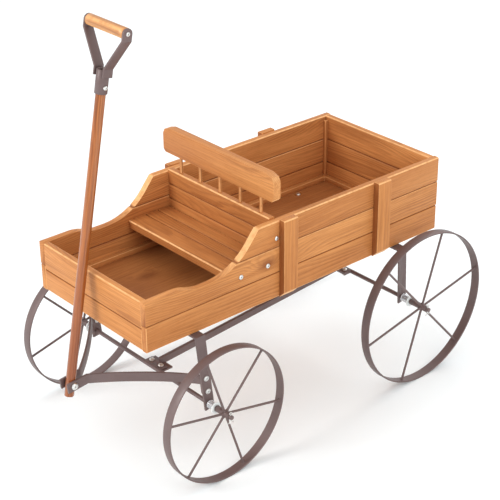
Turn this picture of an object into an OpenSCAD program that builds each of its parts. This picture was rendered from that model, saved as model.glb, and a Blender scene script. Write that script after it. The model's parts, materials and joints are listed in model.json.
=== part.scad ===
// Garden cart: a stained softwood box with a bench seat on four spoked steel wheels.
// It is drawn by a pole with a D-grip, which swings between the arms of a steel yoke.
// Millimetres. +X is the cart's right-hand side for someone facing its rear, +Y runs to the rear, +Z is up.
// The origin lies on the ground under the middle of the cart's length and width.

/* [Box] */
// Width over the side walls
box_w = 230; // [200:1:280]
// Length over the end walls
box_l = 522; // [480:1:640]
// Height of the side and rear walls
wall_h = 112; // [94:1:134]
// Height of the low front end
nose_h = 70; // [58:1:80]
// Thickness of the wall boards
wall_t = 10; // [8:0.5:12]
// Thickness of the floor boards
floor_t = 8.5; // [6:0.5:12]
// Height of the box underside above the ground
box_z = 201.5; // [190:0.5:245]
// Depth of the chamfer along the board edges
edge_v = 1.5; // [0.5:0.1:2]
// Height of the joint between the two front boards
front_joint = 31; // [22:1:40]

/* [Scooped sides] */
// How far the upper wall joint lies above the nose
joint_over_nose = 4.6; // [3:0.1:6]
// Depth of the dip behind the nose
dip = 8.5; // [4:0.5:12]
// Length of the slope into the dip
dip_run = 44; // [30:1:50]
// Length of the level valley
valley_run = 14; // [6:1:20]
// Slope of the rising edge
rise_angle = 50; // [40:1:58]
// Distance from the shoulder to the seat back
shoulder_gap = 26; // [18:1:34]
// Chamfer on the shoulder
shoulder_cut = 3; // [1:0.5:5]

/* [Seat] */
// Distance from the front of the box to the seat back
divider_y = 210; // [200:1:250]
// Thickness of the seat back slats
divider_t = 10; // [8:0.5:14]
// Height of each upper seat back slat
divider_slat_h = 22; // [18:1:26]
// How far the seat back stands above the walls
divider_over = 2.5; // [1:0.5:6]
// Height of the seat top above the box underside
seat_h = 58.5; // [48:0.5:68]
// Thickness of the seat slats
seat_t = 11; // [8:0.5:14]
// Width of the front seat slat
seat_front_w = 29; // [22:1:36]
// Width of each other seat slat
seat_slat_w = 21; // [18:1:26]
// Side of the square cleats inside the box
cleat = 8; // [6:0.5:10]
// Side of the square posts in the rear corners
post = 5; // [4:0.5:8]

/* [Backrest] */
// How far the backrest stops short of the side walls' outer faces
back_in = 1; // [-8:0.5:16]
// Height of the backrest board
back_h = 37; // [28:1:48]
// Thickness of the backrest board
back_t = 12; // [10:0.5:16]
// Gap between the seat back and the backrest
back_gap = 24.5; // [16:0.5:36]
// Height of the cut on the backrest's upper corners
back_corner = 10; // [6:0.5:14]
// Diameter of the spindles
spindle_d = 4.8; // [4:0.2:6]
// Distance from a side wall to the nearest spindle's axis
spindle_end = 22; // [12:0.5:34]
// Depth of the spindles in the wood at each end
spindle_in = 8; // [5:1:12]

/* [Battens] */
// Width of the outside battens
batten_w = 24.5; // [18:0.5:32]
// Thickness of the outside battens
batten_t = 10; // [8:0.5:12]
// Distance from the front of the box to the first batten
batten_y1 = 219.5; // [210:0.5:260]
// Distance between the battens
batten_pitch = 173; // [150:1:200]
// How far the battens stand above the walls
batten_over = 1.5; // [0:0.5:4]
// Chamfer on a batten's foot
batten_cut = 9; // [5:0.5:9]

/* [Wheels and axles] */
// Outer diameter of the front wheels
front_wheel_d = 192; // [150:1:236]
// Outer diameter of the rear wheels
rear_wheel_d = 230; // [190:1:280]
// Distance from the front of the box to the front axle
front_axle_y = 88; // [70:1:110]
// Distance from the rear of the box to the rear axle
rear_axle_in = 67; // [50:1:80]
// Width of the wheel rims
rim_w = 14; // [10:0.5:18]
// Thickness of the wheel rims
rim_t = 2; // [1.5:0.1:3]
// Number of spokes in a wheel
spokes = 6; // [4:1:8]
// Diameter of the spokes
spoke_d = 3.3; // [2.5:0.1:4]
// Turn of the front right wheel's first spoke above the rear horizon
front_right_turn = 48; // [0:1:60]
// Turn of the front left wheel's first spoke above the rear horizon
front_left_turn = 14; // [0:1:60]
// Turn of the rear wheels' first spoke above the rear horizon
rear_turn = 12; // [0:1:60]
// Distance from a side wall's outer face to the middle of a rim
wheel_gap = 42.5; // [40:0.5:52]
// Diameter of the axle rods
axle_d = 6; // [5:0.2:7]
// Distance from the middle of a rim to the axle's end
axle_over = 14; // [12:0.5:20]
// Outer diameter of the wheel hubs
hub_d = 8.8; // [8:0.2:11]
// Length of a front hub
front_hub_l = 26; // [20:1:30]
// Length of a rear hub
rear_hub_l = 31; // [24:1:36]
// How far the axle stands out of the hub
axle_out = 4.5; // [4:0.5:8]
// Radial clearance of what turns on the axle
run_fit = 0.08; // [0.02:0.01:0.1]

/* [Brackets] */
// Width of the bracket strap
strap_w = 15; // [12:0.5:18]
// Thickness of the bracket strap
strap_t = 2.6; // [2:0.1:3.5]
// Distance from a side wall's outer face to a front leg's
front_leg_gap = 11; // [8:0.5:14]
// Distance from a side wall's outer face to the top of a rear leg's
rear_leg_gap = 14; // [11:0.5:17]
// How far the rear legs lean in at the axle
rear_leg_lean = 10; // [0:0.5:12]
// Rake of the front legs, measured at the axle
front_rake = 12; // [0:1:20]
// Rake of the rear legs, measured at the axle
rear_rake = 14; // [0:1:20]
// How far the legs reach below the axle
leg_below = 8; // [6:0.5:12]
// Distance from a side wall's inner face to the bracket bolts' axis
bracket_bolt_in = 16.5; // [14:0.5:40]

/* [Yoke and reach] */
// Distance from the front of the box to the pole's pivot
pivot_y = 41.5; // [38:0.5:60]
// Height of the yoke arms
arm_h = 14; // [12:0.5:16]
// Thickness of the yoke arms
arm_t = 2.6; // [2:0.1:3.5]
// Clearance between the pole and the yoke arms
arm_gap = 0.5; // [0.3:0.1:1.5]
// How far the arms reach ahead of the pivot
arm_nose = 10; // [8:0.5:14]
// How far the arms run straight behind the pivot
arm_straight = 21; // [20:0.5:28]
// Distance between the two bolts that hold an arm to its leg
arm_bolt_gap = 20.5; // [16:0.5:24]
// Height of the upper arm bolt above the front axle
arm_bolt_up = 40.5; // [36:0.5:48]
// Width of the reach bar
reach_w = 5; // [4:0.5:8]
// Height of the reach bar
reach_h = 10; // [8:0.5:14]
// Thickness of the plates at the reach bar's ends
plate_t = 2.5; // [2:0.1:4]
// Width of the plates
plate_w = 34; // [30:1:44]
// Length of the plates
plate_l = 16; // [15:0.5:24]

/* [Pole and grip] */
// Diameter of the pole
pole_d = 13; // [11:0.2:16]
// Clearance between the pole and the front end at rest
pole_gap = 5.7; // [4:0.1:12]
// Length of the pole above its pivot
pole_up = 412; // [340:1:500]
// Length of the pole below its pivot
pole_down = 17.5; // [12:0.5:18]
// Wall of the grip's sleeve
sleeve_wall = 1.7; // [1.4:0.1:2.4]
// Length of the grip's sleeve
sleeve_l = 30.5; // [24:0.5:40]
// How much of the sleeve lies above the pole's end
sleeve_over = 7.5; // [2:0.5:9]
// Width of the grip's straps
grip_strap_w = 14; // [12:0.5:16]
// Thickness of the grip's straps
grip_strap_t = 2.6; // [2:0.1:3.2]
// Length of the grip dowel
grip_l = 75; // [64:1:100]
// Diameter of the grip dowel
grip_d = 14.5; // [12:0.5:18]
// Distance from the sleeve's top to the grip dowel's axis
grip_rise = 52; // [45:0.5:75]

/* [Fasteners] */
// Diameter of the pivot bolt
pivot_bolt_d = 5; // [4:0.1:6]
// Diameter of the frame bolts
bolt_d = 4; // [3:0.1:5]
// Diameter of the frame bolt heads
bolt_head_d = 8; // [6:0.2:9]
// Height of the frame bolt heads
bolt_head_h = 2; // [1.5:0.1:3]
// Diameter of the wood screws
screw_d = 3.2; // [2.5:0.1:4]
// Diameter of the wood screw heads
screw_head_d = 7; // [5:0.2:8]
// Height of the wood screw heads
screw_head_h = 1.6; // [1:0.1:2.4]

/* [Hidden] */
$fn = 48;
eps = 0.01;
left = -1;
right = 1;
wood = "#c8844a";
varnish = "#a8562a";
steel = "#5f504e";
zinc = "#c9c9c6";
nylon = "#e6e8e6";

// The whole length runs from the yoke's nose to the back of the rear wheels
rear_axle_y = box_l - rear_axle_in;
front_r = front_wheel_d / 2;
rear_r = rear_wheel_d / 2;
length_front = pivot_y + arm_nose;
length_rear = rear_axle_y + rear_r;
box_front = (length_front - length_rear) / 2;

// Walls
half_w = box_w / 2;
inner_half = half_w - wall_t;
inner_w = 2 * inner_half;
post_under_top = 6;
joint_2 = nose_h + joint_over_nose;
joint_1 = joint_2 / 2;

// Scooped outline of a side wall
valley_z = nose_h - dip;
scoop_rise = wall_h - valley_z;
arc_rise = 0.6 * scoop_rise;
arc_r = arc_rise / (1 - cos(rise_angle));
slant_rise = scoop_rise - arc_rise - shoulder_cut / 2;
shoulder_y = divider_y - shoulder_gap;
slant_y = shoulder_y - slant_rise / tan(rise_angle);
valley_end = slant_y - arc_r * sin(rise_angle);
valley_start = valley_end - valley_run;
dip_start = valley_start - dip_run;
dip_r = (pow(dip_run / 2, 2) + pow(dip / 2, 2)) / dip;
dip_angle = asin(dip_run / 2 / dip_r);
arc_step = 5;

// Seat
divider_top = wall_h + divider_over;
seat_front = divider_y - seat_front_w - 2 * seat_slat_w;
seat_mid = seat_front + seat_front_w;
seat_rear = seat_mid + seat_slat_w;
seat_screw_z = seat_h - seat_t / 2;
divider_screw_drop = 24;
divider_screw_z = wall_h - divider_screw_drop;
screw_bite = 14;
screw_l = wall_t + screw_bite;
upper_slats = 3;

// Places of the three screws in a side wall, as [y, z]
side_screw_places = [
    [divider_y + divider_t / 2, divider_screw_z],
    [seat_front + seat_front_w / 2, seat_screw_z],
    [seat_rear + seat_slat_w / 2, seat_screw_z]
];

// Backrest and its spindles
back_l = box_w - 2 * back_in;
back_lower_cut = 4;
spindle_pairs = 2;
spindle_pitch = (inner_half - spindle_end) / spindle_pairs;
spindle_y = divider_y + divider_t / 2 + edge_v;
back_z = divider_top + back_gap;

// Wheels
track_half = half_w + wheel_gap;
axle_l = 2 * (track_half + axle_over);
hub_end = axle_l / 2 - axle_out;
hub_bore = axle_d + 2 * run_fit;
washer_t = 1.5;
washer_d = 16.5;
washer_gap = 0.6;
front_hub_in = hub_end - front_hub_l;
rear_hub_in = hub_end - rear_hub_l;

// Coil springs
spring_d = 11.5;
spring_id = 8.5;
spring_ridge = 0.9;
spring_coils = 7;
spring_gap = 0.3;

// Split pins
cotter_d = 1.8;
cotter_wire = 1.2;
cotter_x = hub_end + 1.9;
cotter_eye_z = axle_d / 2 + 2.7;
cotter_eye_r = 1.8;
cotter_leg = 6;
cotter_spread = 35;

// Brackets: each leg's centreline passes through its axle
front_leg_x = half_w + front_leg_gap;
rear_leg_x = half_w + rear_leg_gap;
bracket_bolt_x = inner_half - bracket_bolt_in;
screw_tip_cover = 2;
bracket_screw_in = floor_t - screw_tip_cover;
leg_top = box_z - strap_t / 2;
front_drop = leg_top - front_r;
rear_drop = leg_top - rear_r;
front_bracket_y = front_axle_y - front_rake;
rear_bracket_y = rear_axle_y - rear_rake;
rake_angle = atan(front_rake / front_drop);

// The yoke lies square to the front legs and its arms end at their upper bolts
pivot_z = front_r + arm_bolt_up * cos(rake_angle) - (pivot_y + front_axle_y - arm_bolt_up * sin(rake_angle))
    * tan(rake_angle);
yoke_l = (pivot_y + front_axle_y - arm_bolt_up * sin(rake_angle)) / cos(rake_angle);
tab_x = pole_d / 2 + arm_gap + arm_t / 2;
lug_x = front_leg_x - strap_t - arm_t / 2;
lug_half = arm_h / 2;
arm_steps = 16;
lug_lap = 1;

// How far along its span each end of an arm pulls the curve between them
arm_root_pull = [0.28, 0.38];
arm_foot_pull = [0.3, 0.2];

// Places of a yoke arm's two bolts, in the yoke's own plane
arm_bolts = [[yoke_l, 0], [yoke_l, -arm_bolt_gap]];

// Nuts and the threads left standing out of them
nut_ratio = 0.8;
nut_across = 1.9;
nut_h = nut_ratio * bolt_d;
pivot_nut_h = nut_ratio * pivot_bolt_d;
thread_out = 1.8;
pivot_head_h = 3;

// Profile of a domed head, as shares of its diameter and height
head_rim = 0.4;
head_haunch = 0.8;
head_shoulder = 0.42;
head_crown = 0.3;

// Reach bar
front_plate_z = front_r - plate_t;
rear_plate_z = rear_r;
plate_bolt_edge = 6;
plate_bolt_side = 7;
plate_bolt_x = plate_w / 2 - plate_bolt_side;
plate_bolt_y = plate_l - plate_bolt_edge;
plate_gap = 0.3;
foot_short = 2;
foot_l = plate_l - foot_short;
foot_over = 2;
foot_tail = 6;
reach_front_y = front_axle_y + plate_l + plate_gap;
reach_rear_y = rear_axle_y - axle_d / 2;
reach_front_z = front_plate_z - plate_t;
reach_rear_z = rear_plate_z + plate_t;

// The pole leans back until only pole_gap is left between it and the top of the front end
nose_rise = box_z + nose_h - pivot_z;
pole_lean = acos((pole_d / 2 + pole_gap) / norm([pivot_y, nose_rise])) - atan(nose_rise / pivot_y);

// Pole and grip, measured along the pole from its pivot
sleeve_fit = 0.05;
sleeve_id = pole_d + 2 * sleeve_fit;
sleeve_od = pole_d + 2 * sleeve_wall;
sleeve_top = pole_up + sleeve_over;
sleeve_bottom = sleeve_top - sleeve_l;
sleeve_screw_up = 8.5;
sleeve_screw = sleeve_bottom + sleeve_screw_up;
tail = 9;
grip_z = sleeve_top + grip_rise;
grip_strap_x = grip_l / 2 + grip_strap_t / 2;
tail_x = sleeve_od / 2 + grip_strap_t / 2;
grip_bend = 9;
tail_straight = 2;
grip_head_d = 5.8;
grip_head_h = 1.5;
sleeve_head_h = 1.8;

// Points on an arc about (y, z) from angle a to angle b
function arc(y, z, r, a, b) = let (n = ceil(abs(b - a) / arc_step))
    [for (i = [0:n]) let (t = a + (b - a) * i / n) [y + r * cos(t), z + r * sin(t)]];

// Top edge of a side wall, from the nose to the shoulder
function scoop() = concat(
    [[0, nose_h]],
    arc(dip_start, nose_h - dip_r, dip_r, 90, 90 - dip_angle),
    arc(valley_start, valley_z + dip_r, dip_r, 270 - dip_angle, 270),
    arc(valley_end, valley_z + arc_r, arc_r, 270, 270 + rise_angle),
    [[shoulder_y, wall_h - shoulder_cut / 2], [shoulder_y + shoulder_cut, wall_h], [box_l, wall_h]]
);

// Unit direction from one point to the next
function heading(a, b) = (b - a) / norm(b - a);

// Mitred offset of a path to one side, by distance d
function beside(path, d) = [for (i = [0:len(path) - 1])
    let (
        u = i > 0 ? heading(path[i - 1], path[i]) : heading(path[0], path[1]),
        v = i < len(path) - 1 ? heading(path[i], path[i + 1]) : u,
        m = (u + v) / norm(u + v)
    ) path[i] + [m[1], -m[0]] * d / (m * u)];

// Closed outline of a bent strap of thickness t along a path
function strap_outline(path, t) = let (b = beside(path, -t / 2), n = len(b))
    concat(beside(path, t / 2), [for (i = [0:n - 1]) b[n - 1 - i]]);

// Point on a cubic curve
function cubic(a, b, c, d, t) = let (s = 1 - t)
    a * s * s * s + b * 3 * s * s * t + c * 3 * s * t * t + d * t * t * t;

// Plan of a yoke arm, in the yoke's own plane
function arm_path() = let (
        root = [tab_x, arm_straight],
        foot = [lug_x, yoke_l - lug_half + lug_lap],
        span = foot - root,
        a = root + [arm_root_pull[0] * span[0], arm_root_pull[1] * span[1]],
        b = foot - [arm_foot_pull[0] * span[0], arm_foot_pull[1] * span[1]]
    ) concat(
        [[tab_x, -arm_nose]],
        [for (i = [0:arm_steps]) cubic(root, a, b, foot, i / arm_steps)],
        [[lug_x, yoke_l + lug_half]]
    );

// Moves to a place measured from the front of the box and its underside
module at_box(y = 0, z = 0) {
    translate([0, box_front + y, box_z + z])
        children();
}

// Moves to an axle
module at_axle(y, z) {
    translate([0, box_front + y, z])
        children();
}

// Stands a drawing in Y and Z upright and gives it a thickness along X, centred on x
module upright(x, t) {
    translate([x - t / 2, 0, 0])
        rotate([90, 0, 90])
            linear_extrude(t)
                children();
}

// A round bar along X between x = a and x = b
module rod(a, b, d) {
    translate([a, 0, 0])
        rotate([0, 90, 0])
            cylinder(h = b - a, d = d);
}

// Cross-section of a board with chamfered long edges: t thick and from z = a to z = b
module board_section(t, a, b) {
    polygon([
        [-t / 2 + edge_v, a], [t / 2 - edge_v, a], [t / 2, a + edge_v], [t / 2, b - edge_v],
        [t / 2 - edge_v, b], [-t / 2 + edge_v, b], [-t / 2, b - edge_v], [-t / 2, a + edge_v]
    ]);
}

// A board along Y, from y = c to y = d
module board_y(t, a, b, c, d) {
    translate([0, d, 0])
        rotate([90, 0, 0])
            linear_extrude(d - c)
                board_section(t, a, b);
}

// A board along X, w long, with its front face at y = 0
module board_x(w, t, a, b) {
    translate([-w / 2, t / 2, 0])
        rotate([90, 0, 90])
            linear_extrude(w)
                board_section(t, a, b);
}

// Holes for the side screws, in the box's own place
module side_screw_holes() {
    for (p = side_screw_places, m = [0, 1])
        mirror([m, 0, 0])
            translate([half_w, p[0], p[1]])
                rod(-screw_l, eps, screw_d);
}

// One board of a side wall, between two heights
module side_board(side, a, b) {
    color(wood) at_box() difference() {
        intersection() {
            translate([side * (half_w - wall_t / 2), 0, 0])
                board_y(wall_t, a, b, 0, box_l);
            upright(0, box_w + 2)
                polygon(concat([[box_l, 0], [0, 0]], scoop()));
        }
        side_screw_holes();
    }
}

module end_board(y, a, b) {
    color(wood) at_box(y)
        board_x(inner_w, wall_t, a, b);
}

// Floor boards between the walls, holed from below for what holds a bracket
module floor_board(a, b, holes_y, hole_d, depth) {
    color(wood) at_box() difference() {
        translate([-inner_half, a, 0])
            cube([inner_w, b - a, floor_t]);
        for (side = [left, right])
            translate([side * bracket_bolt_x, holes_y, -eps])
                cylinder(h = depth + eps, d = hole_d);
    }
}

module floor_front() {
    floor_board(wall_t, divider_y + divider_t / 2, front_bracket_y, screw_d, bracket_screw_in);
}

module floor_rear() {
    floor_board(divider_y + divider_t / 2, box_l - wall_t, rear_bracket_y, bolt_d, floor_t + eps);
}

// Strips round the foot of the walls, nailed to the floor
module floor_cleats() {
    rear_start = divider_y + divider_t;
    rear_end = box_l - wall_t - cleat;
    color(wood) at_box(0, floor_t) {
        for (side = [left, right]) {
            translate([side * (inner_half - cleat / 2) - cleat / 2, wall_t, 0])
                cube([cleat, divider_y - wall_t, cleat]);
            translate([side * (inner_half - cleat / 2) - cleat / 2, rear_start, 0])
                cube([cleat, rear_end - rear_start, cleat]);
        }
        translate([-inner_half, rear_end, 0])
            cube([inner_w, cleat, cleat]);
    }
}

// Upright strips in the rear corners
module corner_posts() {
    color(wood) at_box(box_l - wall_t - post, floor_t + cleat)
        for (side = [left, right])
            translate([side * (inner_half - post / 2) - post / 2, 0, 0])
                cube([post, post, wall_h - floor_t - cleat - post_under_top]);
}

// Slats of the seat back, counted from the floor
module divider_slat(n) {
    base = divider_top - upper_slats * divider_slat_h;
    a = n == 1 ? floor_t : base + (n - 2) * divider_slat_h;
    b = n == 1 ? base : a + divider_slat_h;
    color(wood) at_box() difference() {
        translate([0, divider_y, 0])
            board_x(inner_w, divider_t, a, b);
        side_screw_holes();
        spindle_pins(0);
    }
}

// One seat slat, w wide, starting at y
module seat_slat(y, w) {
    color(wood) at_box() difference() {
        translate([0, y + w / 2, seat_h - seat_t / 2])
            rotate([90, 0, 90])
                linear_extrude(inner_w, center = true)
                    polygon([
                        [-w / 2, -seat_t / 2], [w / 2, -seat_t / 2],
                        [w / 2, seat_t / 2 - edge_v], [w / 2 - edge_v, seat_t / 2],
                        [edge_v - w / 2, seat_t / 2], [-w / 2, seat_t / 2 - edge_v]
                    ]);
        side_screw_holes();
    }
}

// Cleats that carry the seat slats at each side
module seat_cleats() {
    color(wood) at_box(seat_front + cleat, seat_h - seat_t - cleat)
        for (side = [left, right])
            translate([side * (inner_half - cleat / 2) - cleat / 2, 0, 0])
                cube([cleat, divider_y - seat_front - cleat, cleat]);
}

// An upright batten outside a wall, with a chamfered foot
module batten(side, y) {
    top = wall_h + batten_over;
    color(wood) at_box(y)
        translate([0, batten_w, 0])
            rotate([90, 0, 0])
                linear_extrude(batten_w)
                    polygon([
                        [side * half_w, 0], [side * (half_w + batten_t - batten_cut), 0],
                        [side * (half_w + batten_t), batten_cut], [side * (half_w + batten_t), top - edge_v],
                        [side * (half_w + batten_t - edge_v), top], [side * half_w, top]
                    ]);
}

// The dowels between the seat back and the backrest, made longer by grow at each end
module spindle_pins(grow) {
    for (i = [-spindle_pairs:spindle_pairs])
        translate([i * spindle_pitch, spindle_y, divider_top - spindle_in - grow])
            cylinder(h = back_gap + 2 * spindle_in + 2 * grow, d = spindle_d);
}

module spindles() {
    color(wood) at_box()
        spindle_pins(0);
}

module backrest_board() {
    half = back_l / 2;
    top_cut = 1.4 * back_corner;
    bulge = back_corner / 3;
    color(wood) at_box() difference() {
        translate([0, spindle_y + back_t / 2, back_z])
            rotate([90, 0, 0])
                linear_extrude(back_t)
                    polygon([
                        [back_lower_cut - half, 0], [half - back_lower_cut, 0], [half, back_lower_cut],
                        [half, back_h - back_corner], [half - bulge, back_h - bulge],
                        [half - top_cut, back_h], [top_cut - half, back_h],
                        [bulge - half, back_h - bulge], [-half, back_h - back_corner],
                        [-half, back_lower_cut]
                    ]);
        spindle_pins(0);
    }
}

// A round head with a rounded rim, standing on z = 0
module dome_head(d, h) {
    rim = head_rim * h;
    haunch = head_haunch * h;
    shoulder = head_shoulder * d;
    crown = head_crown * d;
    rotate_extrude()
        polygon([[0, 0], [d / 2, 0], [d / 2, rim], [shoulder, haunch], [crown, h], [0, h]]);
}

// A hexagon nut standing on z = 0, left open for its bolt
module nut(d, h) {
    across = nut_across * d;
    difference() {
        cylinder(h = h, d = across, $fn = 6);
        translate([0, 0, -eps])
            cylinder(h = h + 2 * eps, d = d);
    }
}

// Screw with its head at x = 0 pointing along -X
module side_screw() {
    rotate([0, 90, 0])
        dome_head(screw_head_d, screw_head_h);
    rod(-screw_l, eps, screw_d);
}

module side_screws() {
    color(zinc) at_box()
        for (p = side_screw_places, m = [0, 1])
            mirror([m, 0, 0])
                translate([half_w, p[0], p[1]])
                    side_screw();
}

// Bracket: a strap under the floor with a raked leg down each side
module bracket(y, rake, drop, leg_x, lean, axle_y, axle_z, hole_d) {
    leg_l = norm([rake, drop]);
    angle = atan(rake / drop);
    difference() {
        union() {
            at_box(y, -strap_t)
                translate([-leg_x, -strap_w / 2, 0])
                    cube([2 * leg_x, strap_w, strap_t]);
            for (side = [left, right])
                at_axle(axle_y, axle_z)
                    rotate([angle, 0, 0])
                        translate([0, strap_w / 2, 0])
                            rotate([90, 0, 0])
                                linear_extrude(strap_w)
                                    polygon(leg_section(side, leg_x, lean, leg_l));
        }
        at_axle(axle_y, axle_z)
            rod(-axle_l / 2, axle_l / 2, axle_d);
        for (side = [left, right])
            at_box(y, -strap_t - eps)
                translate([side * bracket_bolt_x, 0, 0])
                    cylinder(h = strap_t + 2 * eps, d = hole_d);
    }
}

// Section of a leg, seen along the cart: it leans in by lean between the top and the axle
function leg_section(side, leg_x, lean, leg_l) = let (
        low = -leg_below,
        low_x = leg_x - lean * (leg_l + leg_below) / leg_l
    ) [
        [side * leg_x, leg_l + strap_t / 2], [side * low_x, low],
        [side * (low_x - strap_t), low], [side * (leg_x - strap_t), leg_l - strap_t / 2]
    ];

module front_bracket() {
    color(steel) difference() {
        bracket(front_bracket_y, front_rake, front_drop, front_leg_x, 0, front_axle_y, front_r, screw_d);
        in_yoke()
            for (p = arm_bolts)
                translate([0, p[0], p[1]])
                    rod(-front_leg_x - 1, front_leg_x + 1, bolt_d);
    }
}

module rear_bracket() {
    color(steel)
        bracket(
            rear_bracket_y, rear_rake, rear_drop, rear_leg_x, rear_leg_lean, rear_axle_y, rear_r, bolt_d
        );
}

// Carriage bolts through the floor and the rear bracket, with nuts below
module bracket_bolts() {
    color(zinc)
        for (side = [left, right])
            at_box(rear_bracket_y)
                translate([side * bracket_bolt_x, 0, 0]) {
                    translate([0, 0, floor_t])
                        dome_head(bolt_head_d, bolt_head_h);
                    translate([0, 0, -strap_t - nut_h - thread_out])
                        cylinder(h = strap_t + nut_h + thread_out + floor_t + eps, d = bolt_d);
                    translate([0, 0, -strap_t - nut_h])
                        nut(bolt_d, nut_h);
                }
}

// Wood screws up through the front bracket into the floor
module bracket_screws() {
    color(zinc)
        for (side = [left, right])
            at_box(front_bracket_y, -strap_t)
                translate([side * bracket_bolt_x, 0, 0]) {
                    rotate([180, 0, 0])
                        dome_head(screw_head_d, screw_head_h);
                    translate([0, 0, -eps])
                        cylinder(h = strap_t + bracket_screw_in + eps, d = screw_d);
                }
}

// Tilts from the yoke's own plane, whose origin is the pivot
module in_yoke() {
    at_axle(-pivot_y, pivot_z)
        rotate([rake_angle, 0, 0])
            children();
}

// One arm of the yoke with its lug against the leg
module yoke_arm(side) {
    color(steel) in_yoke() mirror([side == left ? 1 : 0, 0, 0]) difference() {
        union() {
            translate([0, 0, -arm_h / 2])
                linear_extrude(arm_h)
                    polygon(strap_outline(arm_path(), arm_t));
            upright(lug_x, arm_t) {
                translate([yoke_l - lug_half, -arm_bolt_gap])
                    square([arm_h, arm_bolt_gap]);
                translate([yoke_l, -arm_bolt_gap])
                    circle(d = arm_h);
            }
        }
        rod(0, 2 * tab_x, pivot_bolt_d);
        for (p = arm_bolts)
            translate([0, p[0], p[1]])
                rod(lug_x - arm_t, lug_x + arm_t, bolt_d);
    }
}

// Bolts that hold the arms' lugs to the legs, heads outside and nuts inside
module yoke_bolts() {
    color(zinc) in_yoke()
        for (p = arm_bolts, m = [0, 1])
            mirror([m, 0, 0])
                translate([front_leg_x, p[0], p[1]]) {
                    rotate([0, 90, 0])
                        dome_head(bolt_head_d, bolt_head_h);
                    rod(-strap_t - arm_t - nut_h - thread_out, eps, bolt_d);
                    translate([-strap_t - arm_t - nut_h, 0, 0])
                        rotate([0, 90, 0])
                            nut(bolt_d, nut_h);
                }
}

// The bolt that the pole turns on
module pivot_bolt() {
    face = tab_x + arm_t / 2;
    color(zinc) in_yoke() {
        rod(-face - pivot_nut_h - thread_out, face + eps, pivot_bolt_d);
        translate([face, 0, 0])
            rotate([0, 90, 0])
                dome_head(2 * pivot_bolt_d, pivot_head_h);
        translate([-face - pivot_nut_h, 0, 0])
            rotate([0, 90, 0])
                nut(pivot_bolt_d, pivot_nut_h);
    }
}

// Axle rod with a plate welded to its side, toward the reach bar
module axle(y, z, plate_side, plate_z) {
    color(steel) difference() {
        union() {
            at_axle(y, z)
                rod(-axle_l / 2, axle_l / 2, axle_d);
            at_axle(y, plate_z)
                translate([-plate_w / 2, plate_side > 0 ? 0 : -plate_l, 0])
                    cube([plate_w, plate_l, plate_t]);
        }
        for (side = [left, right]) {
            at_axle(y + plate_side * plate_bolt_y, plate_z - eps)
                translate([side * plate_bolt_x, 0, 0])
                    cylinder(h = plate_t + 2 * eps, d = bolt_d);
            at_axle(y, z)
                translate([side * cotter_x, 0, -axle_d])
                    cylinder(h = 2 * axle_d, d = cotter_d);
        }
    }
}

module front_axle() {
    axle(front_axle_y, front_r, 1, front_plate_z);
}

module rear_axle() {
    axle(rear_axle_y, rear_r, -1, rear_plate_z);
}

// The bar between the axles, with a foot bolted to the plate at each end
module reach_bar() {
    color(steel) difference() {
        union() {
            at_axle(0, 0)
                upright(0, reach_w)
                    polygon([
                        [reach_front_y, reach_front_z], [reach_rear_y - foot_l, reach_rear_z],
                        [reach_rear_y, reach_rear_z], [reach_rear_y, reach_rear_z + reach_h],
                        [reach_front_y, reach_front_z + reach_h]
                    ]);
            at_axle(front_axle_y + axle_d / 2, reach_front_z)
                translate([-plate_w / 2 - foot_over, 0, 0])
                    cube([plate_w + 2 * foot_over, foot_l + foot_tail, plate_t]);
            at_axle(reach_rear_y - foot_l, reach_rear_z)
                translate([-plate_w / 2, 0, 0])
                    cube([plate_w, foot_l, plate_t]);
        }
        reach_bolt_shanks();
    }
}

module reach_bolt_shanks() {
    below = nut_h + thread_out;
    for (side = [left, right]) {
        at_axle(front_axle_y + plate_bolt_y, front_plate_z - plate_t - below)
            translate([side * plate_bolt_x, 0, 0])
                cylinder(h = 2 * plate_t + below + eps, d = bolt_d);
        at_axle(rear_axle_y - plate_bolt_y, rear_plate_z - below)
            translate([side * plate_bolt_x, 0, 0])
                cylinder(h = 2 * plate_t + below + eps, d = bolt_d);
    }
}

module reach_bolts() {
    color(zinc) {
        reach_bolt_shanks();
        for (side = [left, right]) {
            at_axle(front_axle_y + plate_bolt_y, front_plate_z)
                translate([side * plate_bolt_x, 0, 0]) {
                    translate([0, 0, plate_t])
                        dome_head(bolt_head_d, bolt_head_h);
                    translate([0, 0, -plate_t - nut_h])
                        nut(bolt_d, nut_h);
                }
            at_axle(rear_axle_y - plate_bolt_y, rear_plate_z)
                translate([side * plate_bolt_x, 0, 0]) {
                    translate([0, 0, 2 * plate_t])
                        dome_head(bolt_head_d, bolt_head_h);
                    translate([0, 0, -nut_h])
                        nut(bolt_d, nut_h);
                }
        }
    }
}

// A coil spring on an axle between x = a and x = b, as a closed sleeve with a ridge for each coil
module spring(a, b) {
    coil = (b - a) / spring_coils;
    outer = spring_d / 2;
    inner = spring_id / 2;
    translate([a, 0, 0])
        rotate([0, 90, 0])
            rotate_extrude()
                polygon(concat(
                    [[inner, 0]],
                    [for (i = [0:spring_coils - 1], k = [[0.02, 1], [0.3, 0], [0.7, 0], [0.98, 1]])
                        [outer - k[1] * spring_ridge, (i + k[0]) * coil]],
                    [[inner, b - a]]
                ));
}

module springs() {
    front_face = front_hub_in - washer_gap - washer_t;
    rear_face = rear_hub_in - washer_gap - washer_t;
    rear_start = rear_leg_x - rear_leg_lean + spring_d / 2 * rear_leg_lean / rear_drop + spring_gap;
    color(zinc)
        for (m = [0, 1])
            mirror([m, 0, 0]) {
                at_axle(front_axle_y, front_r)
                    spring(front_leg_x + spring_gap, front_face);
                at_axle(rear_axle_y, rear_r)
                    spring(rear_start, rear_face);
            }
}

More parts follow.
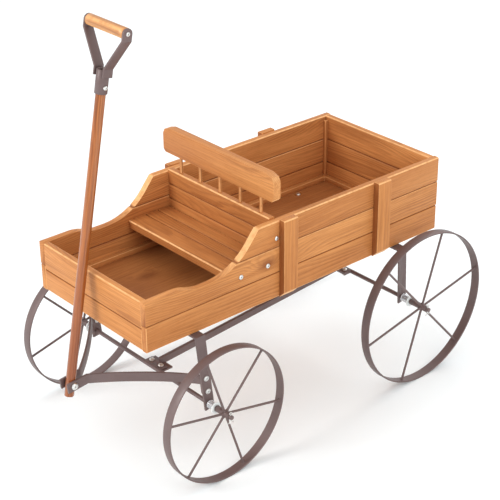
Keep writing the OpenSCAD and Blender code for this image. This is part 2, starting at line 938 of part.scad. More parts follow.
// Nylon washers between the springs and the hubs
module washers() {
    color(nylon)
        for (m = [0, 1], w = [[front_axle_y, front_r, front_hub_in], [rear_axle_y, rear_r, rear_hub_in]])
            mirror([m, 0, 0])
                at_axle(w[0], w[1])
                    translate([w[2] - washer_gap - washer_t, 0, 0])
                        difference() {
                            rod(0, washer_t, washer_d);
                            rod(-eps, washer_t + eps, hub_bore);
                        }
}

// Split pins through the axle's ends, with an eye above and two bent legs below
module cotter_pins() {
    legs = axle_d / 2 + 1;
    color(zinc)
        for (m = [0, 1], a = [[front_axle_y, front_r], [rear_axle_y, rear_r]])
            mirror([m, 0, 0])
                at_axle(a[0], a[1])
                    translate([cotter_x, 0, 0]) {
                        translate([0, 0, -legs])
                            cylinder(h = legs + cotter_eye_z - cotter_eye_r, d = cotter_d);
                        translate([0, 0, cotter_eye_z])
                            rotate([0, 90, 0])
                                rotate_extrude()
                                    translate([cotter_eye_r, 0])
                                        circle(d = cotter_wire);
                        for (turn = [cotter_spread, -cotter_spread])
                            translate([0, 0, -legs])
                                rotate([180 + turn, 0, 0])
                                    cylinder(h = cotter_leg, d = cotter_wire);
                    }
}

// Rim: a rolled flat band
module rim(side, y, r) {
    color(steel) at_axle(y, r)
        translate([side * track_half, 0, 0])
            rotate([0, 90, 0])
                difference() {
                    cylinder(h = rim_w, r = r, center = true, $fn = 96);
                    cylinder(h = rim_w + 1, r = r - rim_t, center = true, $fn = 96);
                }
}

// Hub tube with its welded spokes, which run out to the rim
module spider(side, y, r, hub_l, turn) {
    color(steel) at_axle(y, r) mirror([side == left ? 1 : 0, 0, 0]) difference() {
        union() {
            rod(hub_end - hub_l, hub_end, hub_d);
            intersection() {
                translate([track_half, 0, 0])
                    for (i = [0:spokes - 1])
                        rotate([turn + i * 360 / spokes, 0, 0])
                            rotate([-90, 0, 0])
                                cylinder(h = r - rim_t / 2, d = spoke_d);
                rod(hub_end - hub_l, hub_end, 2 * (r - rim_t));
            }
        }
        rod(hub_end - hub_l - 1, hub_end + 1, hub_bore);
    }
}

module front_spider(side) {
    spider(side, front_axle_y, front_r, front_hub_l, side == left ? front_left_turn : front_right_turn);
}

module rear_spider(side) {
    spider(side, rear_axle_y, rear_r, rear_hub_l, rear_turn);
}

// Moves to the pivot and leans back with the pole
module in_pole() {
    at_axle(-pivot_y, pivot_z)
        rotate([-pole_lean, 0, 0])
            children();
}

module pole() {
    color(varnish) in_pole() difference() {
        translate([0, 0, -pole_down])
            cylinder(h = pole_up + pole_down, d = pole_d);
        rod(-pole_d, pole_d, pivot_bolt_d + 2 * run_fit);
        translate([0, 0, sleeve_screw])
            rod(0, pole_d, screw_d);
    }
}

module grip_sleeve() {
    color(steel) in_pole() difference() {
        translate([0, 0, sleeve_bottom])
            cylinder(h = sleeve_l, d = sleeve_od);
        translate([0, 0, sleeve_bottom - 1])
            cylinder(h = sleeve_l + 2, d = sleeve_id);
        translate([0, 0, sleeve_screw])
            rod(0, sleeve_od, screw_d);
    }
}

// A strap from the sleeve out to the end of the grip dowel
module grip_strap(side) {
    path = [
        [tail_x, sleeve_top - tail], [tail_x, sleeve_top + tail_straight],
        [grip_strap_x, grip_z - grip_bend], [grip_strap_x, grip_z]
    ];
    color(steel) in_pole() mirror([side == left ? 1 : 0, 0, 0]) difference() {
        union() {
            translate([0, grip_strap_w / 2, 0])
                rotate([90, 0, 0])
                    linear_extrude(grip_strap_w)
                        polygon(strap_outline(path, grip_strap_t));
            translate([0, 0, grip_z])
                rod(grip_l / 2, grip_l / 2 + grip_strap_t, grip_strap_w);
        }
        translate([0, 0, sleeve_bottom])
            cylinder(h = sleeve_l + eps, d = sleeve_od);
        translate([0, 0, grip_z])
            rod(0, grip_l, screw_d);
    }
}

module grip_dowel() {
    color(wood) in_pole() translate([0, 0, grip_z]) difference() {
        rod(-grip_l / 2, grip_l / 2, grip_d);
        rod(grip_l / 2 - screw_bite, grip_l, screw_d);
        rod(-grip_l, screw_bite - grip_l / 2, screw_d);
    }
}

module grip_screws() {
    face = grip_l / 2 + grip_strap_t;
    color(zinc) in_pole() {
        for (m = [0, 1])
            mirror([m, 0, 0])
                translate([face, 0, grip_z]) {
                    rotate([0, 90, 0])
                        dome_head(grip_head_d, grip_head_h);
                    rod(-grip_strap_t - screw_bite, eps, screw_d);
                }
        translate([sleeve_od / 2, 0, sleeve_screw]) {
            rotate([0, 90, 0])
                dome_head(grip_head_d, sleeve_head_h);
            rod(-sleeve_od / 2 + 1, eps, screw_d);
        }
    }
}

side_board(left, 0, joint_1);  // side_left_lower
side_board(left, joint_1, joint_2);  // side_left_middle
side_board(left, joint_2, wall_h);  // side_left_upper
side_board(right, 0, joint_1);  // side_right_lower
side_board(right, joint_1, joint_2);  // side_right_middle
side_board(right, joint_2, wall_h);  // side_right_upper
end_board(0, 0, front_joint);  // front_lower_board
end_board(0, front_joint, nose_h);  // front_upper_board
end_board(box_l - wall_t, 0, joint_1);  // rear_lower_board
end_board(box_l - wall_t, joint_1, joint_2);  // rear_middle_board
end_board(box_l - wall_t, joint_2, wall_h);  // rear_upper_board
floor_front();
floor_rear();
floor_cleats();
corner_posts();
divider_slat(1);  // divider_slat_1
divider_slat(2);  // divider_slat_2
divider_slat(3);  // divider_slat_3
divider_slat(4);  // divider_slat_4
seat_slat(seat_front, seat_front_w);  // seat_slat_front
seat_slat(seat_mid, seat_slat_w);  // seat_slat_middle
seat_slat(seat_rear, seat_slat_w);  // seat_slat_rear
seat_cleats();
batten(left, batten_y1);  // batten_left_front
batten(left, batten_y1 + batten_pitch);  // batten_left_rear
batten(right, batten_y1);  // batten_right_front
batten(right, batten_y1 + batten_pitch);  // batten_right_rear
backrest_board();
spindles();
side_screws();
front_bracket();
rear_bracket();
bracket_bolts();
bracket_screws();
front_axle();
rear_axle();
reach_bar();
reach_bolts();
yoke_arm(left);  // yoke_arm_left
yoke_arm(right);  // yoke_arm_right
yoke_bolts();
pivot_bolt();
springs();
washers();
cotter_pins();
rim(left, front_axle_y, front_r);  // rim_front_left
rim(right, front_axle_y, front_r);  // rim_front_right
rim(left, rear_axle_y, rear_r);  // rim_rear_left
rim(right, rear_axle_y, rear_r);  // rim_rear_right
front_spider(left);  // spider_front_left
front_spider(right);  // spider_front_right
rear_spider(left);  // spider_rear_left
rear_spider(right);  // spider_rear_right
pole();
grip_sleeve();
grip_strap(left);  // grip_strap_left
grip_strap(right);  // grip_strap_right
grip_dowel();
grip_screws();
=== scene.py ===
import bpy
import bmesh
import json
import math
import random
from mathutils import Matrix, Vector


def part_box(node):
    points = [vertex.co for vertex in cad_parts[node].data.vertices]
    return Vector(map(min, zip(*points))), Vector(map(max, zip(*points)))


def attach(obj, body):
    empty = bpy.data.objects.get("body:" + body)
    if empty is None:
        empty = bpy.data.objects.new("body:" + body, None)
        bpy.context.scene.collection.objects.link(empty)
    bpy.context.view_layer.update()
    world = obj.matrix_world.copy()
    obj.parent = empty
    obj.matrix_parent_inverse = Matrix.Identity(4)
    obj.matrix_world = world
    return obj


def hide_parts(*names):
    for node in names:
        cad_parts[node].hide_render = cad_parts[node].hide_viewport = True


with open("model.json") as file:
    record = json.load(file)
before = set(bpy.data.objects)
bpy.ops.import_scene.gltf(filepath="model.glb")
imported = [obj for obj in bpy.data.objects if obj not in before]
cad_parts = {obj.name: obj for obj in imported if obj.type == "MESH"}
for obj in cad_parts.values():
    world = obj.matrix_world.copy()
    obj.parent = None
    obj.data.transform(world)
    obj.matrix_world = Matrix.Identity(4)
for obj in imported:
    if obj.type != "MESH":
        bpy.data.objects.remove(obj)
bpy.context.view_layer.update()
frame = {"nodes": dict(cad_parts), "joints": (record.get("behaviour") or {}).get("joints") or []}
mm = 0.001
print("frame loaded")

# Camera: its angles are in degrees, its distance in metres from the aim
cameraSettings = {
    "aim": (0.0590, -0.0418, 0.250),
    "distance": 1.930,
    "azimuth": 49.26,
    "elevation": 27.35,
    "roll": -0.51,
    "lens": 104.2,
    "sensor": 36,
    "nearest": 0.05,
}


def makeCamera(s):
    a, e, r = (math.radians(s[k]) for k in ("azimuth", "elevation", "roll"))
    back = Vector((math.sin(a) * math.cos(e), -math.cos(a) * math.cos(e), math.sin(e)))
    right = Vector((math.cos(a), math.sin(a), 0))
    up = back.cross(right)
    right, up = right * math.cos(r) + up * math.sin(r), up * math.cos(r) - right * math.sin(r)
    data = bpy.data.cameras.new("studioCamera")
    data.lens = s["lens"]
    data.sensor_width = s["sensor"]
    data.clip_start = s["nearest"]
    cam = bpy.data.objects.new("studioCamera", data)
    spot = Vector(s["aim"]) + back * s["distance"]
    turn = Matrix((right, up, back)).transposed().to_4x4()
    cam.matrix_world = Matrix.Translation(spot) @ turn
    bpy.context.scene.collection.objects.link(cam)
    bpy.context.scene.camera = cam


lightSettings = {
    "world": 0.92,
    "skyColor": (1, 1, 1, 1),
    "aim": (0, 0, 0.2),
    "key": {"at": (-0.8, -2.3, 1.45), "size": 1.1, "power": 33, "color": (1.0, 0.985, 0.97)},
    "fill": {"at": (2.2, -0.3, 1.3), "size": 2.0, "power": 17, "color": (1.0, 0.98, 0.96)},
    "rim": {"at": (-0.4, 2.2, 2.1), "size": 1.4, "power": 18, "color": (1.0, 1.0, 1.0)},
}


def makeLights(s):
    world = bpy.data.worlds.new("paleStudio")
    bpy.context.scene.world = world
    world.use_nodes = True
    sky = world.node_tree.nodes["Background"]
    sky.inputs["Color"].default_value = s["skyColor"]
    sky.inputs["Strength"].default_value = s["world"]
    for name in ("key", "fill", "rim"):
        v = s[name]
        data = bpy.data.lights.new(name + "Light", "AREA")
        data.shape = "DISK"
        data.size = v["size"]
        data.energy = v["power"]
        data.color = v["color"]
        lamp = bpy.data.objects.new(name + "Light", data)
        lamp.location = v["at"]
        lamp.rotation_euler = (Vector(s["aim"]) - lamp.location).to_track_quat("-Z", "Y").to_euler()
        bpy.context.scene.collection.objects.link(lamp)


floorSettings = {"half": 12, "color": (0.94, 0.985, 1.0, 1), "rough": 0.75, "shine": 0.2}


def makeFloor(s):
    half = s["half"]
    corners = [(-half, -half, 0), (half, -half, 0), (half, half, 0), (-half, half, 0)]
    data = bpy.data.meshes.new("studioFloor")
    data.from_pydata(corners, [], [(0, 1, 2, 3)])
    floor = bpy.data.objects.new("studioFloor", data)
    bpy.context.scene.collection.objects.link(floor)
    mat = bpy.data.materials.new("paleFloor")
    mat.use_nodes = True
    shader = mat.node_tree.nodes["Principled BSDF"]
    shader.inputs["Base Color"].default_value = s["color"]
    shader.inputs["Roughness"].default_value = s["rough"]
    shader.inputs["Specular IOR Level"].default_value = s["shine"]
    data.materials.append(mat)


makeCamera(cameraSettings)
makeLights(lightSettings)
makeFloor(floorSettings)
bpy.context.scene.view_settings.view_transform = "Standard"
print("camera, light and floor ready")


class Net:  # a short way to place nodes and join them
    def __init__(self, tree):
        self.tree = tree

    def node(self, kind, **values):
        n = self.tree.nodes.new(kind)
        for key, value in values.items():
            setattr(n, key, value)
        return n

    def feed(self, socket, value):
        if isinstance(value, bpy.types.NodeSocket):
            self.tree.links.new(value, socket)
        elif value is not None:
            socket.default_value = value

    def math(self, operation, a, b=None):
        n = self.node("ShaderNodeMath", operation=operation)
        for socket, value in zip(n.inputs, (a, b)):
            self.feed(socket, value)
        return n.outputs[0]

    def vector(self, operation, a, b=None):
        n = self.node("ShaderNodeVectorMath", operation=operation)
        for socket, value in zip(n.inputs, (a, b)):
            self.feed(socket, value)
        return n.outputs[0]

    def noise(self, vector, scale, detail=3.0, rough=0.55):
        n = self.node("ShaderNodeTexNoise")
        self.feed(n.inputs["Vector"], vector)
        self.feed(n.inputs["Scale"], scale)
        n.inputs["Detail"].default_value = detail
        n.inputs["Roughness"].default_value = rough
        return n.outputs["Fac"]

    def span(self, value, low, high, toLow=0.0, toHigh=1.0):
        n = self.node("ShaderNodeMapRange", interpolation_type="SMOOTHSTEP")
        names = ("Value", "From Min", "From Max", "To Min", "To Max")
        for name, v in zip(names, (value, low, high, toLow, toHigh)):
            self.feed(n.inputs[name], v)
        return n.outputs["Result"]

    def times(self, a, b):
        return self.math("MULTIPLY", a, b)

    def plus(self, a, b):
        return self.math("ADD", a, b)

    def mix(self, factor, a, b):
        n = self.node("ShaderNodeMix", data_type="RGBA")
        self.feed(n.inputs["Factor"], factor)
        self.feed(n.inputs["A"], a)
        self.feed(n.inputs["B"], b)
        return n.outputs["Result"]


def startGroup(name, inputs, outputs):
    tree = bpy.data.node_groups.new(name, "ShaderNodeTree")
    for label, kind, value in inputs:
        s = tree.interface.new_socket(label, in_out="INPUT", socket_type="NodeSocket" + kind)
        if value is not None:
            s.default_value = value
    for label, kind in outputs:
        tree.interface.new_socket(label, in_out="OUTPUT", socket_type="NodeSocket" + kind)
    net = Net(tree)
    return tree, net, net.node("NodeGroupInput").outputs, net.node("NodeGroupOutput").inputs


# Stretches run along, across and through the board. Steps are (from, to), some followed by their results
figureValues = {
    "slow": (2.2, 9.0, 9.0), "fine": (9.0, 70.0, 70.0), "uneven": (1.2, 34.0, 34.0),
    "patchy": (5.0, 26.0, 26.0), "fibre": (28.0, 1100.0, 1100.0), "streak": (6.0, 210.0, 210.0),
    "broad": (2.6, 15.0, 15.0), "smear": (3.4, 46.0, 46.0), "rimScale": 130.0,
    "swing": 4.0, "fineShift": 0.9, "unevenShift": 5.0,
    "knotCells": 17.0, "knotSquash": 0.55, "knotPush": 0.011, "knotRings": 95.0, "knotRingTone": 0.5,
    "knotReach": (0.0, 0.42, 1.0, 0.0), "knotCore": (0.055, 0.10, 1.0, 0.0),
    "knotHalo": (0.06, 0.24, 1.0, 0.0),
    "lateRise": (0.15, 0.86), "lateFall": (0.88, 1.0, 1.0, 0.0), "latePatch": (0.3, 0.7, 0.12, 1.0),
    "broadStep": (0.3, 0.7), "streakStep": (0.42, 0.62), "poreStep": (0.45, 0.72),
    "rimStep": (0.25, 0.6, 0.5, 0.95),
    "smearDark": (0.56, 0.74), "smearLight": (0.42, 0.24),
    "streakTone": 0.55, "lateTone": 0.62, "poreTone": 0.34, "haloTone": 0.55, "knotTone": 0.8,
    "smearDarkTone": 0.42, "smearLightTone": 0.35, "grooveAndSideTone": 0.85,
    "fibreRough": 0.16, "lateRough": -0.08, "lateHeight": 0.5, "fibreHeight": -0.5, "knotHeight": 0.3,
}


# Flat-sawn softwood: rings round a pith that wanders, knots that push the rings aside, and fine fibres
def makeTimberGroup(s):
    tree, net, given, out = startGroup(
        "timberFigure",
        [
            ("Vector", "Vector", None), ("Rings", "Float", 260.0), ("Pith Depth", "Float", 0.03),
            ("Wander", "Float", 0.016), ("Knots", "Float", 0.3), ("Contrast", "Float", 1.0),
            ("Light", "Color", (0.8, 0.5, 0.2, 1)), ("Middle", "Color", (0.6, 0.3, 0.1, 1)),
            ("Dark", "Color", (0.3, 0.1, 0.03, 1)), ("Worn And Lit Color", "Color", (0.8, 0.5, 0.2, 1)),
            ("Groove Shade And Side Color", "Color", (0.1, 0.03, 0.01, 1)), ("Rim", "Float", 0.0), ("Seam", "Float", 0.0),
        ],
        [("Color", "Color"), ("Roughness", "Float"), ("Height", "Float")],
    )
    place = given["Vector"]

    def grain(stretch, detail, rough=0.55):
        return net.noise(net.vector("MULTIPLY", place, s[stretch]), 1.0, detail, rough)

    split = net.node("ShaderNodeSeparateXYZ")
    net.feed(split.inputs[0], place)
    along, across, depth = split.outputs
    wander = net.times(net.math("SUBTRACT", grain("slow", 2.0), 0.5), given["Wander"])
    wander = net.times(wander, s["swing"])

    cell = net.node("ShaderNodeTexVoronoi", feature="F1", voronoi_dimensions="2D")  # one knot in some cells
    flat = net.node("ShaderNodeCombineXYZ")
    net.feed(flat.inputs[0], net.times(along, s["knotSquash"]))
    net.feed(flat.inputs[1], across)
    net.feed(cell.inputs["Vector"], flat.outputs[0])
    net.feed(cell.inputs["Scale"], s["knotCells"])
    pick = net.node("ShaderNodeSeparateColor")
    net.feed(pick.inputs[0], cell.outputs["Color"])
    chosen = net.math("LESS_THAN", pick.outputs[0], given["Knots"])
    away = cell.outputs["Distance"]
    push, knot, halo = (
        net.times(net.span(away, *s[step]), chosen) for step in ("knotReach", "knotCore", "knotHalo")
    )

    side = net.plus(across, wander)
    deep = net.plus(depth, given["Pith Depth"])
    radius = net.math("SQRT", net.plus(net.times(side, side), net.times(deep, deep)))
    radius = net.plus(radius, net.times(push, s["knotPush"]))
    ringNumber = net.times(radius, given["Rings"])
    ringNumber = net.plus(ringNumber, net.times(grain("fine", 3.0), s["fineShift"]))
    ringNumber = net.plus(ringNumber, net.times(grain("uneven", 3.0), s["unevenShift"]))
    phase = net.math("FRACT", ringNumber)
    rise, fall = (net.span(phase, *s[step]) for step in ("lateRise", "lateFall"))
    late = net.times(rise, fall)  # late wood is a dark line with one soft side
    late = net.times(late, net.span(grain("patchy", 2.0), *s["latePatch"]))

    fibre = grain("fibre", 2.0, 0.6)
    color = net.mix(net.span(grain("broad", 2.0), *s["broadStep"]), given["Light"], given["Middle"])
    streak = net.span(grain("streak", 3.0, 0.6), *s["streakStep"])
    color = net.mix(net.times(streak, s["streakTone"]), color, given["Middle"])
    color = net.mix(net.times(net.times(late, s["lateTone"]), given["Contrast"]), color, given["Dark"])
    color = net.mix(net.times(net.span(fibre, *s["poreStep"]), s["poreTone"]), color, given["Dark"])
    color = net.mix(net.times(halo, s["haloTone"]), color, given["Dark"])
    knotRings = net.math("FRACT", net.times(away, s["knotRings"]))
    knotColor = net.mix(net.times(knotRings, s["knotRingTone"]), given["Dark"], given["Middle"])
    color = net.mix(net.times(knot, s["knotTone"]), color, knotColor)
    smear = grain("smear", 4.0, 0.65)  # stain taken up in streaks
    color = net.mix(net.times(net.span(smear, *s["smearDark"]), s["smearDarkTone"]), color, given["Dark"])
    color = net.mix(net.times(net.span(smear, *s["smearLight"]), s["smearLightTone"]), color, given["Light"])
    # rounded edges turn lighter in patches: partly wear, partly a painted highlight
    rimPatches = net.span(net.noise(place, s["rimScale"], 3.0), *s["rimStep"])
    color = net.mix(net.times(given["Rim"], rimPatches), color, given["Worn And Lit Color"])
    # painted shade in the grooves where boards meet; the battens' side faces that face along Y get the same
    # darker colour
    color = net.mix(net.times(given["Seam"], s["grooveAndSideTone"]), color, given["Groove Shade And Side Color"])
    net.feed(out["Color"], color)
    net.feed(out["Roughness"], net.plus(net.times(fibre, s["fibreRough"]), net.times(late, s["lateRough"])))
    height = net.plus(net.times(late, s["lateHeight"]), net.times(fibre, s["fibreHeight"]))
    net.feed(out["Height"], net.math("SUBTRACT", height, net.times(knot, s["knotHeight"])))
    return tree


coatValues = {
    "cloudStep": (0.3, 0.7), "scuffStep": (0.62, 0.75), "scuffFineness": 9.0,
    "cloudTone": 0.55, "scuffTone": 0.35, "roughness": 0.12, "peelHeight": 0.7, "scuffHeight": 0.3,
}


# Sprayed powder coat or plating: an orange-peel surface, faint cloudy tone and small specks
def makeCoatGroup(s):
    tree, net, given, out = startGroup(
        "sprayedCoat",
        [
            ("Vector", "Vector", None), ("Grain Size", "Float", 900.0), ("Clouds", "Float", 22.0),
            ("Base", "Color", (0.2, 0.2, 0.2, 1)), ("Worn", "Color", (0.3, 0.3, 0.3, 1)),
        ],
        [("Color", "Color"), ("Roughness", "Float"), ("Height", "Float")],
    )
    peel = net.noise(given["Vector"], given["Grain Size"], 2.0)
    cloud = net.noise(given["Vector"], given["Clouds"], 4.0, 0.6)
    scuff = net.noise(given["Vector"], net.times(given["Clouds"], s["scuffFineness"]), 5.0, 0.7)
    cloudy = net.times(net.span(cloud, *s["cloudStep"]), s["cloudTone"])
    color = net.mix(cloudy, given["Base"], given["Worn"])
    color = net.mix(net.times(net.span(scuff, *s["scuffStep"]), s["scuffTone"]), color, given["Worn"])
    net.feed(out["Color"], color)
    net.feed(out["Roughness"], net.times(net.plus(cloud, scuff), s["roughness"]))
    net.feed(out["Height"], net.plus(net.times(peel, s["peelHeight"]), net.times(scuff, s["scuffHeight"])))
    return tree


timberFigure = makeTimberGroup(figureValues)
sprayedCoat = makeCoatGroup(coatValues)
print("shader groups ready")


# The first three rows of each timber feed its figure, the last one its surface
timberLooks = {
    "cartBoards": {
        "Rings": 380.0, "Pith Depth": 0.020, "Wander": 0.020, "Knots": 0.09, "Contrast": 0.78,
        "Light": (0.67, 0.290, 0.092, 1), "Middle": (0.48, 0.176, 0.048, 1), "Dark": (0.20, 0.050, 0.012, 1),
        "Worn And Lit Color": (0.88, 0.49, 0.215, 1), "Groove Shade And Side Color": (0.20, 0.054, 0.014, 1),
        "rough": 0.42, "bump": 0.25, "coat": 0.02, "coatRough": 0.32, "shine": 0.15,
    },
    # a darker copy of the board wood for the floors: painted shade inside the box
    "floorBoardsShaded": {
        "Rings": 300.0, "Pith Depth": 0.030, "Wander": 0.020, "Knots": 0.07, "Contrast": 0.7,
        "Light": (0.50, 0.195, 0.060, 1), "Middle": (0.37, 0.128, 0.036, 1), "Dark": (0.16, 0.040, 0.009, 1),
        "Worn And Lit Color": (0.66, 0.300, 0.108, 1), "Groove Shade And Side Color": (0.14, 0.038, 0.010, 1),
        "rough": 0.48, "bump": 0.3, "coat": 0.02, "coatRough": 0.4, "shine": 0.2,
    },
    "poleVarnish": {
        "Rings": 330.0, "Pith Depth": 0.004, "Wander": 0.012, "Knots": 0.0, "Contrast": 1.0,
        "Light": (0.50, 0.165, 0.036, 1), "Middle": (0.29, 0.072, 0.014, 1),
        "Dark": (0.065, 0.010, 0.002, 1), "Worn And Lit Color": (0.62, 0.25, 0.070, 1), "Groove Shade And Side Color": (0.08, 0.015, 0.004, 1),
        "rough": 0.22, "bump": 0.08, "coat": 0.65, "coatRough": 0.05, "shine": 0.3,
    },
    "gripWood": {
        "Rings": 420.0, "Pith Depth": 0.012, "Wander": 0.010, "Knots": 0.0, "Contrast": 0.8,
        "Light": (0.56, 0.270, 0.105, 1), "Middle": (0.41, 0.165, 0.054, 1), "Dark": (0.20, 0.056, 0.014, 1),
        "Worn And Lit Color": (0.86, 0.43, 0.170, 1), "Groove Shade And Side Color": (0.12, 0.028, 0.006, 1),
        "rough": 0.34, "bump": 0.12, "coat": 0.15, "coatRough": 0.2, "shine": 0.3,
    },
}


# A material whose colour, roughness and bump come from one group, with the values that the look gives it
def startMaterial(name, tree, look, keys, bumpDepth):
    mat = bpy.data.materials.new(name)
    mat.use_nodes = True
    net = Net(mat.node_tree)
    shader = mat.node_tree.nodes["Principled BSDF"]
    group = net.node("ShaderNodeGroup", node_tree=tree)
    for key in keys:
        group.inputs[key].default_value = look[key]
    net.feed(shader.inputs["Base Color"], group.outputs["Color"])
    net.feed(shader.inputs["Roughness"], net.plus(group.outputs["Roughness"], look["rough"]))
    bump = net.node("ShaderNodeBump")
    net.feed(bump.inputs["Strength"], look["bump"])
    net.feed(bump.inputs["Distance"], bumpDepth)
    net.feed(bump.inputs["Height"], group.outputs["Height"])
    net.feed(shader.inputs["Normal"], bump.outputs[0])
    net.feed(shader.inputs["Coat Weight"], look["coat"])
    return mat, net, shader, group


def makeTimber(name, look):
    keys = ("Rings", "Pith Depth", "Wander", "Knots", "Contrast", "Light", "Middle", "Dark", "Worn And Lit Color", "Groove Shade And Side Color")
    mat, net, shader, figure = startMaterial(name, timberFigure, look, keys, 0.4 * mm)
    place = net.node("ShaderNodeAttribute", attribute_name="grainPlace")
    net.feed(figure.inputs["Vector"], place.outputs["Vector"])
    edge = net.node("ShaderNodeAttribute", attribute_name="edgeMarks")
    marks = net.node("ShaderNodeSeparateXYZ")
    net.feed(marks.inputs[0], edge.outputs["Vector"])
    net.feed(figure.inputs["Rim"], marks.outputs[0])
    net.feed(figure.inputs["Seam"], marks.outputs[1])
    net.feed(shader.inputs["Coat Roughness"], look["coatRough"])
    net.feed(shader.inputs["Specular IOR Level"], look["shine"])
    return mat


coatLooks = {
    "brownCoat": {
        "Base": (0.128, 0.082, 0.078, 1), "Worn": (0.178, 0.120, 0.113, 1),
        "Grain Size": 1100.0, "Clouds": 18.0,
        "metallic": 0.10, "rough": 0.36, "bump": 0.22, "coat": 0.08,
    },
    "zincPlate": {
        "Base": (0.70, 0.70, 0.68, 1), "Worn": (0.82, 0.81, 0.78, 1), "Grain Size": 1800.0, "Clouds": 60.0,
        "metallic": 1.0, "rough": 0.20, "bump": 0.06, "coat": 0.0,
    },
    # a darker copy of the zinc for the heads' sockets: painted shade
    "shadedZinc": {
        "Base": (0.30, 0.30, 0.29, 1), "Worn": (0.42, 0.42, 0.40, 1), "Grain Size": 1500.0, "Clouds": 60.0,
        "metallic": 0.8, "rough": 0.5, "bump": 0.1, "coat": 0.0,
    },
    "springChrome": {
        "Base": (0.80, 0.80, 0.82, 1), "Worn": (0.70, 0.70, 0.72, 1), "Grain Size": 2200.0, "Clouds": 90.0,
        "metallic": 1.0, "rough": 0.10, "bump": 0.03, "coat": 0.0,
    },
    "washerNylon": {
        "Base": (0.80, 0.83, 0.82, 1), "Worn": (0.88, 0.90, 0.89, 1), "Grain Size": 700.0, "Clouds": 120.0,
        "metallic": 0.0, "rough": 0.36, "bump": 0.05, "coat": 0.0,
    },
}


def makeCoat(name, look):
    keys = ("Base", "Worn", "Grain Size", "Clouds")
    mat, net, shader, coat = startMaterial(name, sprayedCoat, look, keys, 0.3 * mm)
    net.feed(coat.inputs["Vector"], net.node("ShaderNodeTexCoord").outputs["Object"])
    net.feed(shader.inputs["Metallic"], look["metallic"])
    return mat


materials = {name: makeTimber(name, look) for name, look in timberLooks.items()}
materials.update({name: makeCoat(name, look) for name, look in coatLooks.items()})
print("materials ready")


meshTools = {"weld": 2e-6, "flatDegrees": 0.6, "smoothDegrees": 40, "smallest": 1e-7}


# Makes one visible piece, parents it to the body it follows and hides the nodes it stands for
def place(name, bm, looks, body, nodes):
    data = bpy.data.meshes.new(name)
    bmesh.ops.recalc_face_normals(bm, faces=bm.faces)
    bm.to_mesh(data)
    bm.free()
    piece = bpy.data.objects.new(name, data)
    bpy.context.scene.collection.objects.link(piece)
    for look in looks:
        data.materials.append(materials[look])
    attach(piece, body)
    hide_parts(*nodes)
    return piece


def useModifiers(piece):
    shown = bpy.context.evaluated_depsgraph_get()
    data = bpy.data.meshes.new_from_object(piece.evaluated_get(shown))
    old = piece.data
    piece.modifiers.clear()
    piece.data = data
    bpy.data.meshes.remove(old)


def roundEdges(piece, width, steps, angle=28):
    mod = piece.modifiers.new("roundEdges", "BEVEL")
    mod.width = width
    mod.segments = steps
    mod.limit_method = "ANGLE"
    mod.angle_limit = math.radians(angle)
    mod.use_clamp_overlap = True
    useModifiers(piece)
    smoothBelow(piece, meshTools["smoothDegrees"])


def smoothBelow(piece, degrees):
    data = piece.data
    data.shade_smooth()
    bm = bmesh.new()
    bm.from_mesh(data)
    limit = math.radians(degrees)
    for e in bm.edges:
        if len(e.link_faces) == 2 and e.calc_face_angle() > limit:
            e.smooth = False
    bm.to_mesh(data)
    bm.free()


# A copy of a CAD node's mesh, with its flat faces made whole again
def cadShape(node):
    bm = bmesh.new()
    bm.from_mesh(frame["nodes"][node].data)
    bmesh.ops.remove_doubles(bm, verts=bm.verts, dist=meshTools["weld"])
    flat = math.radians(meshTools["flatDegrees"])
    bmesh.ops.dissolve_limit(bm, angle_limit=flat, verts=bm.verts, edges=bm.edges, delimit=set())
    return bm


# Boxes (lowest corner, highest corner) of the separate solids in a CAD node
def solidsOf(node):
    bm = bmesh.new()
    bm.from_mesh(frame["nodes"][node].data)
    bmesh.ops.remove_doubles(bm, verts=bm.verts, dist=meshTools["weld"])
    left, found = set(bm.verts), []
    while left:
        stack, island = [left.pop()], []
        while stack:
            v = stack.pop()
            island.append(v.co.copy())
            for e in v.link_edges:
                w = e.other_vert(v)
                if w in left:
                    left.discard(w)
                    stack.append(w)
        low = Vector([min(c[i] for c in island) for i in range(3)])
        high = Vector([max(c[i] for c in island) for i in range(3)])
        found.append((low, high))
    bm.free()
    return sorted(found, key=lambda b: tuple(round(x, 5) for x in b[0]))


# Turns an outline of (radius, height) points about the Z axis of the given matrix
def addLathe(bm, outline, at, steps=32, closed=False, material=0):
    rings = []
    for radius, height in outline:
        if radius < meshTools["smallest"]:
            rings.append([bm.verts.new(at @ Vector((0, 0, height)))])
            continue
        rings.append([
            bm.verts.new(at @ Vector((radius * math.cos(t), radius * math.sin(t), height)))
            for t in (2 * math.pi * i / steps for i in range(steps))
        ])
    pairs = list(zip(rings, rings[1:]))
    if closed:
        pairs.append((rings[-1], rings[0]))
    for a, b in pairs:
        for i in range(steps):
            j = (i + 1) % steps
            corners = [a[i % len(a)], a[j % len(a)], b[j % len(b)], b[i % len(b)]]
            corners = [v for k, v in enumerate(corners) if v not in corners[:k]]
            if len(corners) > 2:
                face = bm.faces.new(corners)
                face.material_index = material
                face.smooth = True


# A round wire through the given points, with a radius for each
def addWire(bm, points, radii, sides=10):
    rings = []
    side = None
    for i, p in enumerate(points):
        ahead = points[min(i + 1, len(points) - 1)] - points[max(i - 1, 0)]
        ahead.normalize()
        if side is None:
            side = ahead.orthogonal().normalized()
        side = (side - ahead * side.dot(ahead)).normalized()
        other = ahead.cross(side)
        r = radii[i]
        rings.append([
            bm.verts.new(p + (side * math.cos(t) + other * math.sin(t)) * r)
            for t in (2 * math.pi * k / sides for k in range(sides))
        ])
    for a, b in zip(rings, rings[1:]):
        for k in range(sides):
            face = bm.faces.new((a[k], a[(k + 1) % sides], b[(k + 1) % sides], b[k]))
            face.smooth = True
    bm.faces.new(rings[0][::-1])
    bm.faces.new(rings[-1])


